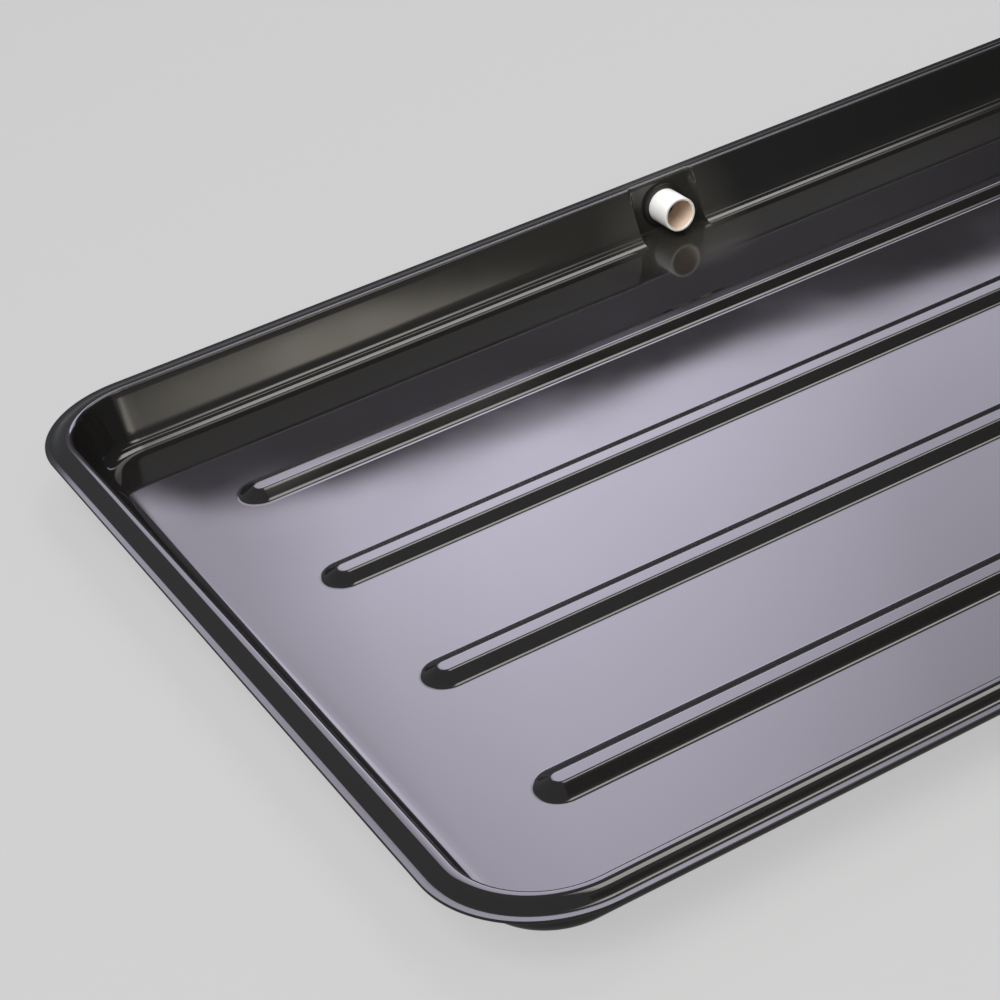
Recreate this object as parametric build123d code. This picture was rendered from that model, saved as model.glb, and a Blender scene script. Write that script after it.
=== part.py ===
"""A long, shallow drip tray: a vacuum-formed sheet with raised ribs and a drain tube pushed through a rubber grommet."""

from build123d import *
import os

# Driving dimensions, in millimetres. The origin is the centre of the underside, with +X along the ribs and +Y
# towards the outlet. "Out" is a distance outward from the crest line, which is the top of the rim's roll.
CREST_LENGTH = 760.0
CREST_DEPTH = 490.0
CORNER_RADIUS = 45.0
SHEET = 1.5

# The wall and rim, as the sheet's middle line: places where its straight runs would meet, and the bends there.
FLOOR_OUT = -22.0
FOOT_OUT = -12.4
CREST_OUT = -2.4
CREST_UP = 31.75
ROLL_OUT = 2.2
SLOPE_OUT = 7.3
LIP_OUT = 11.5
LIP_UP = 29.05
FOOT_BEND = 11.5
CREST_BEND = 1.3
ROLL_BEND = 9.2
LIP_BEND = 5.75

# Ribs: raised beads with round ends. Crown and foot are where the flank's line meets the top and the floor.
RIB_ROWS = (-152.5, -53.0, 48.5, 145.0)
RIB_REACH = 304.5
RIB_HEIGHT = 4.3
RIB_CROWN = 3.9
RIB_FOOT = 11.4
RIB_SKIRT = 14.0
RIB_CROWN_BEND = 3.0
RIB_FOOT_BEND = 5.0

# Outlet: an upright flat seat pressed into the back wall, with a hole for the grommet.
OUTLET_UP = 16.2
SEAT_OUT = -2.5
SEAT_UP = 29.3
SEAT_WIDTH = 37.0
SEAT_DEEP = 18.5
SEAT_BEND = 2.5
HOLE_RADIUS = 11.0

# The tube, and the grommet that grips the seat: radius and thickness of each of its flanges.
TUBE_RADIUS = 10.0
TUBE_WALL = 1.6
TUBE_INSIDE = 19.5
TUBE_OUTSIDE = 17.5
TUBE_EDGE = 0.5
RUNNING_CLEARANCE = 0.05
SEATING_CLEARANCE = 0.05
INNER_FLANGE = (13.0, 2.4)
OUTER_FLANGE = (12.3, 3.0)
FLANGE_ROUND = 0.8

SEAT_Y = CREST_DEPTH / 2 + SEAT_OUT
OUTLET = Pos(0, SEAT_Y, OUTLET_UP) * Rot(-90, 0, 0)


def save(name, shape):
    """Write one named piece."""
    shape.label = name
    export_step(shape, f"parts/{name}.step")


def rim_section():
    """The sheet cut across floor edge, wall, crest and lip: X outward from the crest line, Y up."""
    middle = FilletPolyline(
        (FLOOR_OUT, SHEET / 2),
        (FOOT_OUT, SHEET / 2),
        (CREST_OUT, CREST_UP),
        (ROLL_OUT, CREST_UP),
        (SLOPE_OUT, LIP_UP),
        (LIP_OUT, LIP_UP),
        radius=[FOOT_BEND, CREST_BEND, ROLL_BEND, LIP_BEND],
    )
    return trace(middle, line_width=SHEET)


def straight_rim(start, outward, length):
    """One straight side of the rim, from start towards outward x up."""
    side = Plane(origin=start, x_dir=outward, z_dir=outward.cross(Vector(0, 0, 1)))
    return extrude(side * rim_section(), length)


def corner_rim(centre, outward):
    """A quarter turn of the rim about centre, starting from outward."""
    cut = Plane(origin=centre, x_dir=outward, z_dir=outward.cross(Vector(0, 0, 1)))
    section = cut * (Pos(CORNER_RADIUS, 0) * rim_section())
    return revolve(section, Axis(centre, (0, 0, 1)), revolution_arc=90)


def rim():
    """Wall, crest and lip all round: half of it, and the same half turned about the middle."""
    far = CREST_LENGTH / 2
    deep = CREST_DEPTH / 2
    x, y = far - CORNER_RADIUS, deep - CORNER_RADIUS
    half = [
        straight_rim((far, y, 0), Vector(1, 0, 0), 2 * y),
        corner_rim((x, y, 0), Vector(1, 0, 0)),
        straight_rim((-x, deep, 0), Vector(0, 1, 0), 2 * x),
        corner_rim((-x, y, 0), Vector(0, 1, 0)),
    ]
    turned = [Rot(0, 0, 180) * piece for piece in half]
    return half[0].fuse(*half[1:], *turned)


def floor():
    """The flat floor, up to where the rim's section starts."""
    outline = RectangleRounded(
        CREST_LENGTH + 2 * FLOOR_OUT, CREST_DEPTH + 2 * FLOOR_OUT, CORNER_RADIUS + FLOOR_OUT
    )
    return extrude(outline, SHEET)


def rib_form():
    """The space under one rib's upper face, standing on a skirt one sheet deep, centred on the origin."""
    half = FilletPolyline(
        (0, RIB_HEIGHT),
        (RIB_CROWN, RIB_HEIGHT),
        (RIB_FOOT, 0),
        (RIB_SKIRT, 0),
        radius=[RIB_CROWN_BEND, RIB_FOOT_BEND],
    )
    base = Polyline((RIB_SKIRT, 0), (RIB_SKIRT, -SHEET), (0, -SHEET), (0, RIB_HEIGHT))
    half_face = make_face([half, base])
    face = half_face + mirror(half_face, Plane.YZ)
    run = extrude(Plane.YZ.offset(-RIB_REACH) * face, 2 * RIB_REACH)
    end = revolve(Plane.XZ * half_face, Axis.Z)
    return run.fuse(Pos(RIB_REACH, 0, 0) * end, Pos(-RIB_REACH, 0, 0) * end)


def ribs(up):
    """All the ribs' forms with their skirts' tops at height up."""
    form = rib_form()
    return [Pos(0, row, up) * form for row in RIB_ROWS]


def seat_back():
    """The seat's material: a wedge that fills between the sloping wall and the seat's outer face."""
    draft = (CREST_OUT - FOOT_OUT) / (CREST_UP - SHEET / 2)
    outer = SEAT_OUT + SHEET
    wedge = Polyline(
        (FOOT_OUT, 0),
        (outer, 0),
        (outer, SEAT_UP),
        (FOOT_OUT + draft * SEAT_UP, SEAT_UP),
        close=True,
    )
    side = Plane(origin=(-SEAT_WIDTH / 2 - SHEET, CREST_DEPTH / 2, 0), x_dir=(0, 1, 0), z_dir=(1, 0, 0))
    solid = extrude(side * make_face(wedge), SEAT_WIDTH + 2 * SHEET)
    return fillet(solid.edges().filter_by(Axis.Z).group_by(Axis.Y)[-1], SEAT_BEND)


def seat_front():
    """The space in front of the seat, which is cut out of the wall."""
    block = Box(SEAT_WIDTH, SEAT_DEEP, SEAT_UP - SHEET, align=(Align.CENTER, Align.MAX, Align.MIN))
    placed = Pos(0, SEAT_Y, SHEET) * block
    return fillet(placed.edges().filter_by(Axis.Z).group_by(Axis.Y)[-1], SEAT_BEND)


def tray_pan():
    """The whole formed sheet."""
    sheet = floor().fuse(rim(), *ribs(SHEET), seat_back())
    hole = OUTLET * Cylinder(HOLE_RADIUS, 4 * SHEET)
    return sheet.cut(*ribs(0), seat_front(), hole)


def turned_piece(steps, bore):
    """A ring about the outlet's axis from (radius, start, end) steps, with Z outward from the seat's face."""
    body = None
    for radius, start, end in steps:
        step = Pos(0, 0, start) * Cylinder(radius, end - start, align=(Align.CENTER, Align.CENTER, Align.MIN))
        body = step if body is None else body + step
    return body - Cylinder(bore, 400)


def outlet_grommet():
    """The rubber grommet: a flange each side of the seat, with a groove between them that fills the hole."""
    inner_radius, inner_thick = INNER_FLANGE
    outer_radius, outer_thick = OUTER_FLANGE
    steps = [
        (inner_radius, -inner_thick, 0),
        (HOLE_RADIUS - SEATING_CLEARANCE, 0, SHEET),
        (outer_radius, SHEET, SHEET + outer_thick),
    ]
    ring = turned_piece(steps, TUBE_RADIUS + RUNNING_CLEARANCE)
    outside = ring.edges().filter_by(GeomType.CIRCLE).filter_by(lambda e: e.radius > TUBE_RADIUS + 1)
    rims = outside.sort_by(Axis.Z)
    return OUTLET * fillet([rims[0], rims[-1]], FLANGE_ROUND)


def outlet_tube():
    """The drain tube, open at both ends."""
    ring = turned_piece([(TUBE_RADIUS, -TUBE_INSIDE, TUBE_OUTSIDE)], TUBE_RADIUS - TUBE_WALL)
    ends = ring.edges().filter_by(GeomType.CIRCLE)
    return OUTLET * chamfer(ends, TUBE_EDGE)


os.makedirs("parts", exist_ok=True)
save("tray_pan", tray_pan())
save("outlet_grommet", outlet_grommet())
save("outlet_tube", outlet_tube())
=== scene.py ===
"""A glossy black vacuum-formed drip tray with raised ribs, and the white drain tube through its back wall."""

import math

import bpy
import numpy as np
from mathutils import Matrix, Vector


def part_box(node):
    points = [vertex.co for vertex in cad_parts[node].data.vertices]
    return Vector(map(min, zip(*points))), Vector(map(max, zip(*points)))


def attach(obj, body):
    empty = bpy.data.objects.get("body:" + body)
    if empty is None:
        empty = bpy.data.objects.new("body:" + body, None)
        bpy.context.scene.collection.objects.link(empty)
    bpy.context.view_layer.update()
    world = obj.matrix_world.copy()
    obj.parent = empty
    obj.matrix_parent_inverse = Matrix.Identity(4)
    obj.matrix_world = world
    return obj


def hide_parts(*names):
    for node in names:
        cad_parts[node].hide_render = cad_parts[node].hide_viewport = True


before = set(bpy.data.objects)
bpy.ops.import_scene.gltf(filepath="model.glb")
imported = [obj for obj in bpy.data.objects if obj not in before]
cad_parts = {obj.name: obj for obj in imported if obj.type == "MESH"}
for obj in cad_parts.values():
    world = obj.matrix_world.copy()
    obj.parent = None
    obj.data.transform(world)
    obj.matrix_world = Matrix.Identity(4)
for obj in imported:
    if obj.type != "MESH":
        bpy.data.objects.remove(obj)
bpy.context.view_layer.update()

MM = 0.001

# The tray, in millimetres, as the CAD part has it. "Out" is outward from the crest line.
CORNER_RADIUS = 45.0
SHEET = 1.5
LIP_OUT = 11.5
PAN_LOW, PAN_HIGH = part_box("tray_pan")
HALF_LENGTH = PAN_HIGH.x / MM - LIP_OUT
HALF_DEPTH = PAN_HIGH.y / MM - LIP_OUT

# The sheet's middle line across wall and rim: where its straight runs would meet, and the bends there.
FOOT_OUT = -12.4
CREST_OUT = -2.4
CREST_UP = 31.75
ROLL_OUT = 2.2
SLOPE_OUT = 7.3
LIP_UP = 29.05
FOOT_BEND = 11.5
CREST_BEND = 1.3
ROLL_BEND = 9.2
LIP_BEND = 5.75
TRIM_ROUND = 0.4

# Ribs: crown and foot are where the flank's line meets the top and the floor.
RIB_ROWS = (-152.5, -53.0, 48.5, 145.0)
RIB_REACH = 304.5
RIB_HEIGHT = 4.3
RIB_CROWN = 3.9
RIB_FOOT = 11.4
RIB_CROWN_BEND = 3.0
RIB_FOOT_BEND = 5.0
RIB_SKIRT = 14.0
RIB_LEAN = 0.012
SAG_LEVEL = 0.08

# The upright seat in the back wall, its hole, the grommet and the tube.
SEAT_HALF = 18.5
SEAT_SIDE = 2.5
SEAT_MIDDLE = -1.75
SEAT_TOP = -1.75
SEAT_FOOT_BEND = 2.2
SEAT_Y = HALF_DEPTH - 2.5
OUTLET_UP = 16.2
HOLE_RADIUS = 11.0
TUBE_RADIUS = 10.0
TUBE_WALL = 1.6
TUBE_INSIDE = 19.5
TUBE_OUTSIDE = 17.5
TUBE_ROUND = 0.5
DRILL_REACH = 8.0
ROUND_SEGMENTS = 96
CORNER_STEPS = 40
WELD_DISTANCE = 1e-6


# ---------------------------------------------------------------- outlines


def bend_line(points, bends, run_steps, bend_steps):
    """A polyline with its corners turned into arcs: (point, normal) each, the normal to the left of travel."""
    points = [Vector(p) for p in points]
    line = []
    start = points[0]
    for i, (corner, radius) in enumerate(zip(points[1:-1], bends)):
        into = (corner - points[i]).normalized()
        away = (points[i + 2] - corner).normalized()
        turn = math.atan2(into.x * away.y - into.y * away.x, into.dot(away))
        cut = radius * math.tan(abs(turn) / 2)
        left = Vector((-into.y, into.x))
        side = math.copysign(1.0, turn)
        first = corner - into * cut
        centre = first + left * (side * radius)
        line += [(start.lerp(first, k / run_steps[i]), left) for k in range(run_steps[i])]
        for k in range(bend_steps[i]):
            spin = Matrix.Rotation(turn * k / bend_steps[i], 2)
            normal = spin @ left
            line.append((centre - normal * (side * radius), normal))
        start = corner + away * cut
    last = (points[-1] - points[-2]).normalized()
    left = Vector((-last.y, last.x))
    steps = run_steps[-1]
    line += [(start.lerp(points[-1], k / steps), left) for k in range(steps + 1)]
    return line


def rim_line(foot_out, crest_out, foot_bend):
    """The rim's upper and lower outlines, as (out, up) points from the floor's edge to the trimmed lip."""
    middle = bend_line(
        [(-CORNER_RADIUS, SHEET / 2), (foot_out, SHEET / 2), (crest_out, CREST_UP), (ROLL_OUT, CREST_UP),
         (SLOPE_OUT, LIP_UP), (LIP_OUT - TRIM_ROUND, LIP_UP)],
        [foot_bend, CREST_BEND, ROLL_BEND, LIP_BEND],
        run_steps=[9, 8, 3, 2, 3],
        bend_steps=[16, 9, 10, 8],
    )
    upper = [p + n * (SHEET / 2) for p, n in middle]
    lower = [p - n * (SHEET / 2) for p, n in middle]
    trim = Vector((TRIM_ROUND, 0))
    drop = Vector((0, TRIM_ROUND))
    upper.append(upper[-1] + trim - drop)
    lower.append(lower[-1] + trim + drop)
    return upper + lower[::-1]


def smooth(value):
    """0 to 1, with level ends."""
    t = np.clip(value, 0.0, 1.0)
    return t * t * (3 - 2 * t)


# ---------------------------------------------------------------- the pan


def rib_rise(x, y):
    """How far the ribs lift the sheet at each place."""
    flank = math.atan2(RIB_HEIGHT, RIB_FOOT - RIB_CROWN)
    crown_cut = RIB_CROWN_BEND * math.tan(flank / 2)
    foot_cut = RIB_FOOT_BEND * math.tan(flank / 2)
    beyond = np.maximum(np.abs(x) - RIB_REACH, 0.0)
    rows = np.array(RIB_ROWS)
    across = y[..., None] - rows
    across = np.take_along_axis(across, np.abs(across).argmin(-1)[..., None], -1)[..., 0]
    away = np.hypot(beyond, across)
    straight = RIB_HEIGHT - (away - RIB_CROWN) * math.tan(flank)
    crown_run = np.clip(away - (RIB_CROWN - crown_cut), 0.0, RIB_CROWN_BEND)
    crown = RIB_HEIGHT - RIB_CROWN_BEND + np.sqrt(RIB_CROWN_BEND**2 - crown_run**2)
    foot_run = np.clip(RIB_FOOT + foot_cut - away, 0.0, RIB_FOOT_BEND)
    foot = RIB_FOOT_BEND - np.sqrt(RIB_FOOT_BEND**2 - foot_run**2)
    rise = np.where(away < RIB_CROWN + crown_cut * math.cos(flank), crown, straight)
    lean = RIB_LEAN * (across - RIB_CROWN) * smooth((RIB_CROWN + 1 - away) / 2)
    return np.where(away > RIB_FOOT - foot_cut * math.cos(flank), foot, rise + lean)


def sag(x, y):
    """The formed sheet isn't dead flat: long shallow waves, in millimetres, that never go below zero."""
    waves = (
        0.045 * np.sin(x / 71.0 + 0.6) * np.cos(y / 57.0 + 0.3)
        + 0.02 * np.sin(x / 37.0 - y / 83.0 + 1.9)
        + 0.006 * np.cos(x / 23.0 + y / 29.0)
    )
    return SAG_LEVEL + waves


def stations(spans):
    """Places along one axis: each span is (from, to, largest step), and spans follow on."""
    places = []
    for low, high, step in spans:
        count = max(1, math.ceil((high - low) / step - 1e-9))
        places += [low + (high - low) * k / count for k in range(count)]
    return np.array(places + [spans[-1][1]])


def floor_places():
    """The floor grid's lines: close together over rib flanks, rib ends and the seat's sides."""
    side = HALF_LENGTH - CORNER_RADIUS
    deep = HALF_DEPTH - CORNER_RADIUS
    far = RIB_REACH + RIB_SKIRT
    seat = SEAT_HALF + 2 * SEAT_SIDE
    xs = stations([
        (-side, -far, 6), (-far, -RIB_REACH, 0.6), (-RIB_REACH, -seat, 6), (-seat, seat, 1.2),
        (seat, RIB_REACH, 6), (RIB_REACH, far, 0.6), (far, side, 6),
    ])
    spans = []
    start = -deep
    for row in RIB_ROWS:
        spans += [(start, row - RIB_SKIRT, 6), (row - RIB_SKIRT, row + RIB_SKIRT, 0.6)]
        start = row + RIB_SKIRT
    ys = stations(spans + [(start, deep, 6)])
    return xs, ys


def rim_path(xs, ys, corner_steps):
    """Once round the floor grid's edge, anticlockwise: (x, y, outward x, outward y, how much seat) each."""
    path = []
    seat = smooth((SEAT_HALF + SEAT_SIDE - np.abs(xs)) / SEAT_SIDE)
    sides = [
        [(xs[-1], y, 0.0) for y in ys],
        [(x, ys[-1], w) for x, w in zip(xs[::-1], seat[::-1])],
        [(xs[0], y, 0.0) for y in ys[::-1]],
        [(x, ys[0], 0.0) for x in xs],
    ]
    for turn, side in enumerate(sides):
        angle = turn * math.pi / 2
        path += [(x, y, math.cos(angle), math.sin(angle), w) for x, y, w in side]
        x, y, _ = side[-1]
        for k in range(1, corner_steps):
            swung = angle + math.pi / 2 * k / corner_steps
            path.append((x, y, math.cos(swung), math.sin(swung), 0.0))
    return path


def pan_points(xs, ys, path):
    """The pan's vertices: the upper floor grid, the lower one, then one rim outline per place on the path."""
    gx, gy = np.meshgrid(xs, ys, indexing="ij")
    rise = rib_rise(gx, gy) + sag(gx, gy)
    upper = np.stack([gx, gy, rise + SHEET], -1).reshape(-1, 3)
    lower = np.stack([gx, gy, rise], -1).reshape(-1, 3)
    outlines = {}
    rim = []
    for x, y, ox, oy, seat in path:
        if seat not in outlines:
            foot = FOOT_OUT + (SEAT_MIDDLE - FOOT_OUT) * seat
            crest = CREST_OUT + (SEAT_TOP - CREST_OUT) * seat
            bend = FOOT_BEND + (SEAT_FOOT_BEND - FOOT_BEND) * seat
            outlines[seat] = np.array(rim_line(foot, crest, bend))
        out, up = outlines[seat].T
        px = x + ox * (out + CORNER_RADIUS)
        py = y + oy * (out + CORNER_RADIUS)
        fade = smooth((FOOT_OUT - out) / (CORNER_RADIUS + FOOT_OUT) * 2)
        rim.append(np.stack([px, py, up + sag(px, py) * fade], -1))
    return np.concatenate([upper, lower, np.concatenate(rim)])


def pan_faces(nx, ny, rows, columns):
    """Faces of the two floor grids and of the closed rim, all facing outward."""
    i, j = np.meshgrid(np.arange(nx - 1), np.arange(ny - 1), indexing="ij")
    a = (i * ny + j).ravel()
    upper = np.stack([a, a + ny, a + ny + 1, a + 1], -1)
    lower = upper[:, ::-1] + nx * ny
    base = 2 * nx * ny
    r, c = np.meshgrid(np.arange(rows), np.arange(columns - 1), indexing="ij")
    here = base + r * columns + c
    there = base + (r + 1) % rows * columns + c
    rim = np.stack([here, here + 1, there + 1, there], -1).reshape(-1, 4)
    return np.concatenate([upper, lower, rim])


def new_object(name, points, faces, materials):
    """A mesh object in the scene from points in millimetres."""
    mesh = bpy.data.meshes.new(name)
    mesh.from_pydata(np.asarray(points) * MM, [], [list(map(int, f)) for f in faces])
    for material in materials:
        mesh.materials.append(material)
    made = bpy.data.objects.new(name, mesh)
    bpy.context.scene.collection.objects.link(made)
    return made


def keep_modifiers(made):
    """Apply every modifier on an object."""
    bpy.context.view_layer.update()
    done = bpy.data.meshes.new_from_object(made.evaluated_get(bpy.context.evaluated_depsgraph_get()))
    made.modifiers.clear()
    made.data = done


def smooth_shade(made, degrees):
    """Smooth shading with sharp edges where faces meet at more than the angle."""
    made.data.shade_smooth()
    made.data.set_sharp_from_angle(angle=math.radians(degrees))


def drill(made, radius, length):
    """Cut a round hole about the outlet's axis, reaching length to each side of the seat's face."""
    outline = [(0, -length), (radius, -length), (radius, length), (0, length)]
    tool = lathe("drill", outline, [], ROUND_SEGMENTS, closed=False)
    cut = made.modifiers.new("hole", "BOOLEAN")
    cut.operation, cut.solver, cut.object = "DIFFERENCE", "EXACT", tool
    keep_modifiers(made)
    bpy.data.objects.remove(tool)


def make_pan(material):
    """The formed sheet, with its real thickness and the hole for the grommet."""
    xs, ys = floor_places()
    path = rim_path(xs, ys, CORNER_STEPS)
    columns = len(rim_line(FOOT_OUT, CREST_OUT, FOOT_BEND))
    points = pan_points(xs, ys, path)
    faces = pan_faces(len(xs), len(ys), len(path), columns)
    pan = new_object("formed_pan", points, faces, [material])
    weld = pan.modifiers.new("weld", "WELD")
    weld.merge_threshold = WELD_DISTANCE
    keep_modifiers(pan)
    drill(pan, HOLE_RADIUS, DRILL_REACH)
    smooth_shade(pan, 40)
    return pan


# ---------------------------------------------------------------- grommet and tube


def lathe(name, outline, materials, segments, closed=True, material_of=None):
    """Turn (radius, out from the seat's face) points about the outlet's axis."""
    angles = np.arange(segments) * 2 * math.pi / segments
    rings = [
        np.stack([r * np.cos(angles), np.full(segments, SEAT_Y + out), OUTLET_UP + r * np.sin(angles)], -1)
        for r, out in outline
    ]
    faces = []
    owners = []
    count = len(outline)
    for i in range(count if closed else count - 1):
        a, b = i * segments, (i + 1) % count * segments
        for k in range(segments):
            n = (k + 1) % segments
            faces.append((a + k, a + n, b + n, b + k))
            owners.append(material_of(i) if material_of else 0)
    made = new_object(name, np.concatenate(rings), faces, materials)
    made.data.polygons.foreach_set("material_index", owners)
    weld = made.modifiers.new("weld", "WELD")
    weld.merge_threshold = WELD_DISTANCE
    keep_modifiers(made)
    return made


def rounded_outline(corners, radii, steps=6):
    """A closed outline with its corners turned into arcs."""
    count = len(corners)
    points = []
    for i, radius in enumerate(radii):
        here = Vector(corners[i])
        back = (Vector(corners[i - 1]) - here).normalized()
        ahead = (Vector(corners[(i + 1) % count]) - here).normalized()
        if radius == 0:
            points.append(here)
            continue
        half = back.angle(ahead) / 2
        middle = here + (back + ahead).normalized() * (radius / math.sin(half))
        start = here + back * (radius / math.tan(half))
        sweep = (start - middle).angle_signed(here + ahead * (radius / math.tan(half)) - middle)
        for k in range(steps + 1):
            points.append(middle + Matrix.Rotation(-sweep * k / steps, 2) @ (start - middle))
    return [tuple(p) for p in points]


def make_tube(outside, inside):
    """The drain tube, its bore a warmer, darker cream than its outside, as painted shade."""
    bore = TUBE_RADIUS - TUBE_WALL
    corners = [
        (bore, -TUBE_INSIDE), (TUBE_RADIUS, -TUBE_INSIDE), (TUBE_RADIUS, TUBE_OUTSIDE), (bore, TUBE_OUTSIDE),
    ]
    outline = rounded_outline(corners, [TUBE_ROUND] * 4)
    last = len(outline) - 1
    owner = lambda i: 1 if i == last else 0
    tube = lathe("drain_tube", outline, [outside, inside], ROUND_SEGMENTS, material_of=owner)
    smooth_shade(tube, 50)
    return tube


def make_grommet(material):
    """The rubber grommet: a flange each side of the seat and a groove between them."""
    bore = TUBE_RADIUS + 0.05
    corners = [
        (bore, -2.4), (13.0, -2.4), (13.0, -0.02), (HOLE_RADIUS - 0.1, -0.02),
        (HOLE_RADIUS - 0.1, SHEET + 0.02), (12.3, SHEET + 0.02), (12.3, SHEET + 3.0), (bore, SHEET + 3.0),
    ]
    outline = rounded_outline(corners, [0.3, 1.0, 0.2, 0, 0, 0.2, 0.8, 0.3])
    grommet = lathe("rubber_grommet", outline, [material], ROUND_SEGMENTS)
    smooth_shade(grommet, 50)
    return grommet


# ---------------------------------------------------------------- materials


def new_material(name, colour, roughness):
    """A Principled material and its node tree, ready for its own detail."""
    material = bpy.data.materials.new(name)
    material.use_nodes = True
    shader = material.node_tree.nodes["Principled BSDF"]
    shader.inputs["Base Color"].default_value = (*colour, 1)
    shader.inputs["Roughness"].default_value = roughness
    return material, material.node_tree, shader


def ranged(tree, source, low, high, from_low=0.0, from_high=1.0):
    """Map a node's output onto low to high."""
    node = tree.nodes.new("ShaderNodeMapRange")
    node.inputs["From Min"].default_value = from_low
    node.inputs["From Max"].default_value = from_high
    node.inputs["To Min"].default_value = low
    node.inputs["To Max"].default_value = high
    tree.links.new(source, node.inputs["Value"])
    return node.outputs["Result"]


def noise(tree, scale, detail=2.0):
    """Noise over the object's own place in metres."""
    place = tree.nodes.new("ShaderNodeTexCoord")
    node = tree.nodes.new("ShaderNodeTexNoise")
    node.inputs["Scale"].default_value = scale
    node.inputs["Detail"].default_value = detail
    tree.links.new(place.outputs["Object"], node.inputs["Vector"])
    return node.outputs["Fac"]


def bump(tree, shader, height, distance):
    """Bump a shader by a height, in metres."""
    node = tree.nodes.new("ShaderNodeBump")
    node.inputs["Distance"].default_value = distance
    node.inputs["Strength"].default_value = 1.0
    tree.links.new(height, node.inputs["Height"])
    tree.links.new(node.outputs["Normal"], shader.inputs["Normal"])


# Around the outlet's seat: painted light, a lighter colour that lifts the dark seat, plus a rougher finish;
# centre, inner and outer reach in metres.
SEAT_PAINTED_LIGHT_CENTRE = (0.0, 0.228, 0.012)
SEAT_PAINTED_LIGHT_INNER = 0.026
SEAT_PAINTED_LIGHT_OUTER = 0.05
SEAT_ROUGHENING = 0.09
SEAT_PAINTED_LIGHT_COLOUR = (0.027, 0.0255, 0.022, 1)


def pan_material():
    """Glossy black formed plastic with a faint handling haze, rougher around the outlet and painted lighter
    there as painted light on the seat.
    """
    material, tree, shader = new_material("gloss_black_plastic", (0.0105, 0.0098, 0.0094), 0.07)
    shader.inputs["IOR"].default_value = 1.5
    haze = ranged(tree, noise(tree, 14.0, detail=3.0), 0.035, 0.08, 0.35, 0.7)
    place = tree.nodes.new("ShaderNodeTexCoord")
    away = tree.nodes.new("ShaderNodeVectorMath")
    away.operation = "DISTANCE"
    away.inputs[1].default_value = SEAT_PAINTED_LIGHT_CENTRE
    tree.links.new(place.outputs["Object"], away.inputs[0])
    seat_painted_light_and_roughening = ranged(tree, away.outputs["Value"], 1.0, 0.0, SEAT_PAINTED_LIGHT_INNER, SEAT_PAINTED_LIGHT_OUTER)
    rough = tree.nodes.new("ShaderNodeMath")
    rough.operation = "MULTIPLY_ADD"
    rough.inputs[1].default_value = SEAT_ROUGHENING
    tree.links.new(seat_painted_light_and_roughening, rough.inputs[0])
    tree.links.new(haze, rough.inputs[2])
    tree.links.new(rough.outputs[0], shader.inputs["Roughness"])
    # Painted light: the lighter colour mixed into the black around the seat.
    tint = tree.nodes.new("ShaderNodeMix")
    tint.data_type = "RGBA"
    tint.inputs["A"].default_value = shader.inputs["Base Color"].default_value
    tint.inputs["B"].default_value = SEAT_PAINTED_LIGHT_COLOUR
    tree.links.new(seat_painted_light_and_roughening, tint.inputs["Factor"])
    tree.links.new(tint.outputs["Result"], shader.inputs["Base Color"])
    return material


def tube_material():
    """White rigid plastic."""
    material, tree, shader = new_material("white_tube_plastic", (0.86, 0.85, 0.82), 0.35)
    tree.links.new(ranged(tree, noise(tree, 300.0), 0.28, 0.42), shader.inputs["Roughness"])
    return material


def painted_shade_bore_material():
    """The tube's inside in a warm, darker cream: painted shade and warm bounced light in the bore."""
    material, tree, shader = new_material("tube_bore_painted_shade", (0.83, 0.66, 0.52), 0.5)
    tree.links.new(ranged(tree, noise(tree, 200.0), 0.4, 0.6), shader.inputs["Roughness"])
    return material


def rubber_material():
    """Black moulded rubber."""
    material, tree, shader = new_material("black_rubber", (0.012, 0.012, 0.012), 0.45)
    bump(tree, shader, noise(tree, 900.0), 0.00005)
    return material


# ---------------------------------------------------------------- stage, light and camera


def glow_panel(name, corner, across, up, steps, glow, colour, strength):
    """A flat light that the camera doesn't see: glow(u, v) from 0 to 1 says how bright each place on it is."""
    corner, across, up = (np.array(v, float) for v in (corner, across, up))
    nu, nv = steps
    u, v = np.meshgrid(np.linspace(0, 1, nu), np.linspace(0, 1, nv), indexing="ij")
    points = corner + u[..., None] * across + v[..., None] * up
    i, j = np.meshgrid(np.arange(nu - 1), np.arange(nv - 1), indexing="ij")
    first = (i * nv + j).ravel()
    faces = np.stack([first, first + nv, first + nv + 1, first + 1], -1)
    mesh = bpy.data.meshes.new(name)
    mesh.from_pydata(points.reshape(-1, 3), [], faces.tolist())
    bright = mesh.attributes.new("bright", "FLOAT", "POINT")
    bright.data.foreach_set("value", glow(u, v).ravel().astype(np.float32))
    material = bpy.data.materials.new(name)
    material.use_nodes = True
    tree = material.node_tree
    tree.nodes.clear()
    read = tree.nodes.new("ShaderNodeAttribute")
    read.attribute_name = "bright"
    power = tree.nodes.new("ShaderNodeMath")
    power.operation = "MULTIPLY"
    power.inputs[1].default_value = strength
    emit = tree.nodes.new("ShaderNodeEmission")
    emit.inputs["Color"].default_value = (*colour, 1)
    out = tree.nodes.new("ShaderNodeOutputMaterial")
    tree.links.new(read.outputs["Fac"], power.inputs[0])
    tree.links.new(power.outputs[0], emit.inputs["Strength"])
    tree.links.new(emit.outputs["Emission"], out.inputs["Surface"])
    mesh.materials.append(material)
    panel = bpy.data.objects.new(name, mesh)
    bpy.context.scene.collection.objects.link(panel)
    panel.visible_camera = False
    panel.visible_shadow = False
    return panel


MIRRORED_GLOW = 0.12


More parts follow.
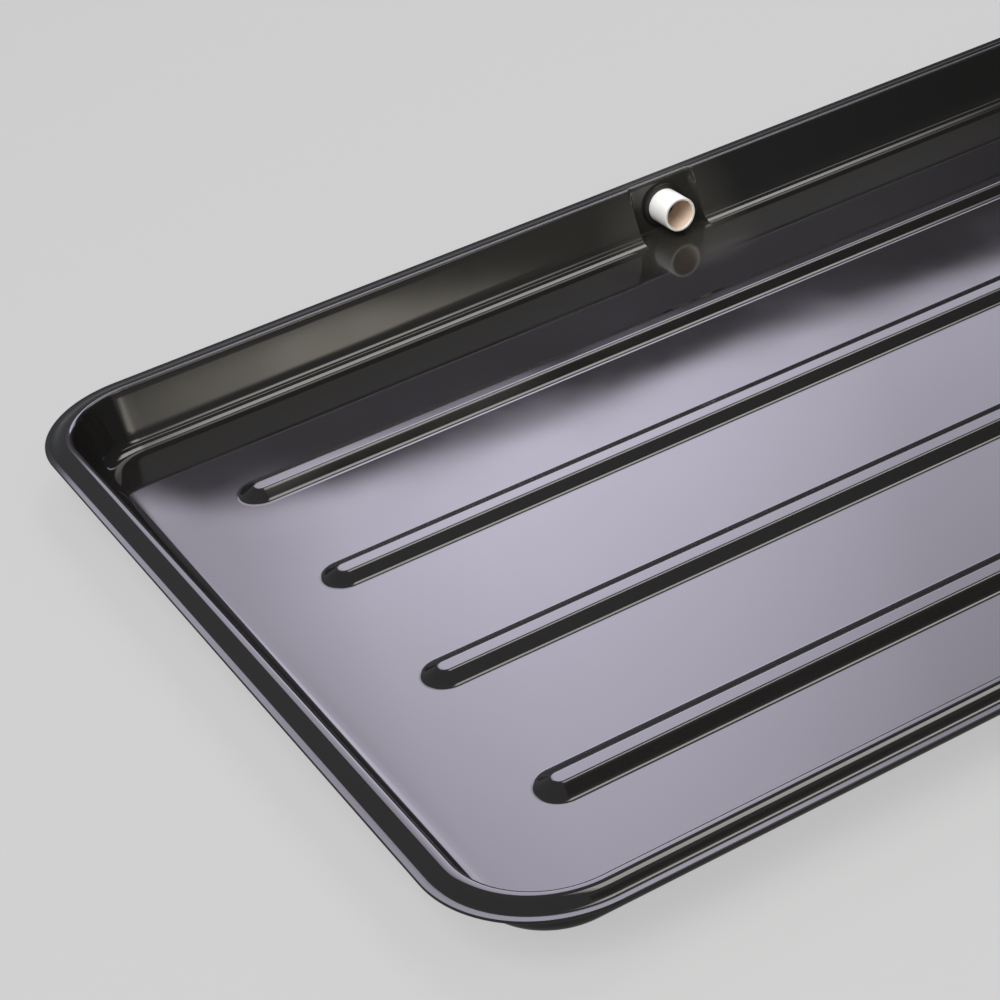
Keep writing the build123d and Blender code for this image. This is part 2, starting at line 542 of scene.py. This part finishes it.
def make_floor(colour, glow):
    """A plain pale floor, lit evenly, that glossy surfaces mirror as a darker one."""
    mesh = bpy.data.meshes.new("floor")
    far = 15.0
    corners = [(-far, -far, 0), (far, -far, 0), (far, far, 0), (-far, far, 0)]
    mesh.from_pydata(corners, [], [(0, 1, 2, 3)])
    floor = bpy.data.objects.new("floor", mesh)
    bpy.context.scene.collection.objects.link(floor)
    material = bpy.data.materials.new("pale_floor")
    material.use_nodes = True
    shader = material.node_tree.nodes["Principled BSDF"]
    shader.inputs["Base Color"].default_value = (*colour, 1)
    shader.inputs["Roughness"].default_value = 0.9
    shader.inputs["Specular IOR Level"].default_value = 0.0
    shader.inputs["Emission Color"].default_value = (1, 1, 1, 1)
    path = material.node_tree.nodes.new("ShaderNodeLightPath")
    mirrored = ranged(material.node_tree, path.outputs["Is Glossy Ray"], glow, MIRRORED_GLOW)
    material.node_tree.links.new(mirrored, shader.inputs["Emission Strength"])
    mesh.materials.append(material)
    return floor


def make_world(camera_sees, light):
    """A dim studio, lighter towards the left, which the camera itself sees as the floor's pale grey."""
    world = bpy.data.worlds.new("studio")
    bpy.context.scene.world = world
    world.use_nodes = True
    tree = world.node_tree
    dim = tree.nodes["Background"]
    dim.inputs["Color"].default_value = (*light, 1)
    place = tree.nodes.new("ShaderNodeTexCoord")
    split = tree.nodes.new("ShaderNodeSeparateXYZ")
    tree.links.new(place.outputs["Generated"], split.inputs[0])
    tree.links.new(ranged(tree, split.outputs["X"], 1.6, 0.4, 0.36, 0.56), dim.inputs["Strength"])
    pale = tree.nodes.new("ShaderNodeBackground")
    pale.inputs["Color"].default_value = (*camera_sees, 1)
    path = tree.nodes.new("ShaderNodeLightPath")
    mix = tree.nodes.new("ShaderNodeMixShader")
    tree.links.new(path.outputs["Is Camera Ray"], mix.inputs["Fac"])
    tree.links.new(dim.outputs["Background"], mix.inputs[1])
    tree.links.new(pale.outputs["Background"], mix.inputs[2])
    tree.links.new(mix.outputs["Shader"], tree.nodes["World Output"].inputs["Surface"])


CAMERA_PLACE = (-0.6374, -0.8825, 0.6466)
CAMERA_AZIMUTH = 23.49
CAMERA_DROP = 32.03
CAMERA_ROLL = -10.3
CAMERA_LENS = 89.55
CAMERA_SHIFT = 0.026


def make_camera():
    """The camera, looking down across the near left corner."""
    data = bpy.data.cameras.new("camera")
    data.sensor_width = 36.0
    data.lens = CAMERA_LENS
    data.shift_x = CAMERA_SHIFT
    camera = bpy.data.objects.new("camera", data)
    bpy.context.scene.collection.objects.link(camera)
    turn = Matrix.Rotation(math.radians(-CAMERA_AZIMUTH), 4, "Z")
    drop = Matrix.Rotation(math.radians(90 - CAMERA_DROP), 4, "X")
    roll = Matrix.Rotation(math.radians(CAMERA_ROLL), 4, "Z")
    camera.matrix_world = Matrix.Translation(CAMERA_PLACE) @ turn @ drop @ roll
    data.clip_start, data.clip_end = 0.05, 60.0
    bpy.context.scene.camera = camera


def softbox():
    """The large softbox behind the tray that its floor mirrors, with an uneven lower edge."""
    left, right, low, high = -0.35, 3.6, 0.7, 2.1
    edge_x = [
        -0.35, 0.03, 0.09, 0.17, 0.265, 0.35, 0.45, 0.56, 0.66, 0.77, 0.87, 0.98, 1.09, 1.19, 1.5, 2.0, 3.6,
    ]
    edge_z = [
        0.80, 0.867, 0.91, 0.935, 0.96, 0.97, 0.98, 0.99, 0.998, 0.994, 0.994,
        1.005, 1.018, 1.022, 1.05, 1.1, 1.2,
    ]
    fall_x = [0.0, 0.11, 0.15, 0.2, 0.28, 0.36, 0.45, 0.55, 0.67, 0.78, 0.88, 1.0, 1.1, 1.2, 1.5, 2.0]
    fall = [0.6, 0.64, 0.67, 0.77, 0.94, 1.0, 1.06, 1.06, 1.01, 0.95, 0.87, 0.77, 0.67, 0.63, 0.57, 0.5]

    def glow(u, v):
        x, z = left + u * (right - left), low + v * (high - low)
        bottom = smooth((z - np.interp(x, edge_x, edge_z)) / 0.05 + 0.5)
        top = smooth((1.97 - z) / 0.06)
        sides = smooth((x + 0.1) / 0.06) * smooth((3.5 - x) / 0.3)
        across = np.interp(x - 0.12 * (z - 1.15), fall_x, fall)
        down = np.interp(z, [1.0, 1.12, 1.45, 1.7, 2.0], [0.9, 1.0, 0.96, 0.93, 0.88])
        dim = np.interp(x, [0.0, 1.0, 1.4], [0.04, 0.03, 0.012])
        return dim + (1 - dim) * bottom * top * sides * across * down

    glow_panel("softbox", (left, 1.61, low), (right - left, 0, 0), (0, 0, high - low), (240, 140), glow,
               (0.87, 0.825, 1.0), 6.7)


def overhead_strip():
    """The strip light above that the ribs' near flanks, the wall's foot and the front rim mirror."""
    def glow(u, v):
        near = smooth((v - 0.09 - 0.1 * u) / 0.05)
        return near * smooth((1 - v) / 0.1) * smooth(u / 0.16) * smooth((1 - u) / 0.36)

    glow_panel("overhead_strip", (0.2, -0.1, 3.0), (2.25, 0, 0), (0, 1.35, 0), (60, 60), glow,
               (1.0, 0.97, 0.92), 6.2)


def rear_ceiling():
    """Above and behind the camera: a dim strip that the floor mirrors by way of the wall, then a dark flag."""
    low, high = -1.3, -0.7
    edges = [-1.3, -1.2, -0.98, -0.94, -0.7]
    levels = [0.0, 3.2, 3.2, 0.0, 0.0]

    def glow(u, v):
        return np.interp(low + v * (high - low), edges, levels) * smooth(u / 0.1) * smooth((1 - u) / 0.4)

    glow_panel("rear_ceiling", (0.1, low, 3.0), (2.9, 0, 0), (0, high - low, 0), (40, 90), glow,
               (1.0, 0.99, 0.98), 1.0)


def rear_window():
    """The tall light behind the camera that the upper part of the foot's fillet mirrors."""
    across = [0.2, 0.3, 0.4, 0.5, 0.65, 0.9, 1.1, 1.3, 1.45]
    levels = [0.0, 0.12, 0.35, 0.68, 0.97, 1.0, 0.64, 0.17, 0.0]

    def glow(u, v):
        return np.interp(0.2 + 1.3 * u, across, levels) * smooth(v / 0.4) * smooth((1 - v) / 0.4)

    glow_panel("rear_window", (0.2, -1.85, 1.5), (1.3, 0, 0), (0, 0, 1.45), (60, 40), glow,
               (1.0, 0.97, 0.88), 6.6)


def low_warm_light():
    """The low warm light in front that the back wall mirrors, patchy like light through leaves."""
    def glow(u, v):
        broad = 0.09 * np.sin(9 * u + 5 * v) + 0.07 * np.sin(23 * u - 9 * v + 1)
        patches = 1.0 + broad + 0.05 * np.cos(41 * u + 17 * v)
        right = smooth((0.835 - 1.15 * (v - 0.45) - u) / 0.27)
        left = smooth((u - 0.02 * np.sin(9 * v)) / 0.45)
        return 0.12 + patches * left * right * smooth(v / 0.2) * smooth((0.62 - v) / 0.1)

    glow_panel("low_warm_light", (0.1, -2.5, 0.1), (1.2, 0, 0), (0, 0, 0.46), (70, 40), glow,
               (1.0, 0.94, 0.82), 2.9)


def soft_light(name, place, target, width, energy, colour):
    """A square area light aimed at a target, kept out of the tray's mirror finish."""
    data = bpy.data.lights.new(name, "AREA")
    data.size = width
    data.energy = energy
    data.color = colour
    lamp = bpy.data.objects.new(name, data)
    bpy.context.scene.collection.objects.link(lamp)
    lamp.location = place
    lamp.rotation_euler = (Vector(target) - lamp.location).to_track_quat("-Z", "Y").to_euler()
    lamp.visible_glossy = False


make_camera()
make_world((0.624, 0.624, 0.624), (0.145, 0.158, 0.167))
make_floor((0.1, 0.1, 0.1), 0.485)
softbox()
overhead_strip()
rear_ceiling()
rear_window()
low_warm_light()
soft_light("key", (-1.6, -0.9, 2.4), (0, 0, 0), 2.0, 90.0, (1, 1, 1))
soft_light("low_fill", (-0.5, -1.5, 0.62), (0, 0.24, 0.016), 0.5, 5.0, (1.0, 0.93, 0.84))

pan = make_pan(pan_material())
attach(pan, "tray")
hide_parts("tray_pan")

grommet = make_grommet(rubber_material())
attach(grommet, "tray")
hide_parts("outlet_grommet")

tube = make_tube(tube_material(), painted_shade_bore_material())
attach(tube, "outlet")
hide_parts("outlet_tube")

bpy.context.scene.view_settings.view_transform = "Standard"
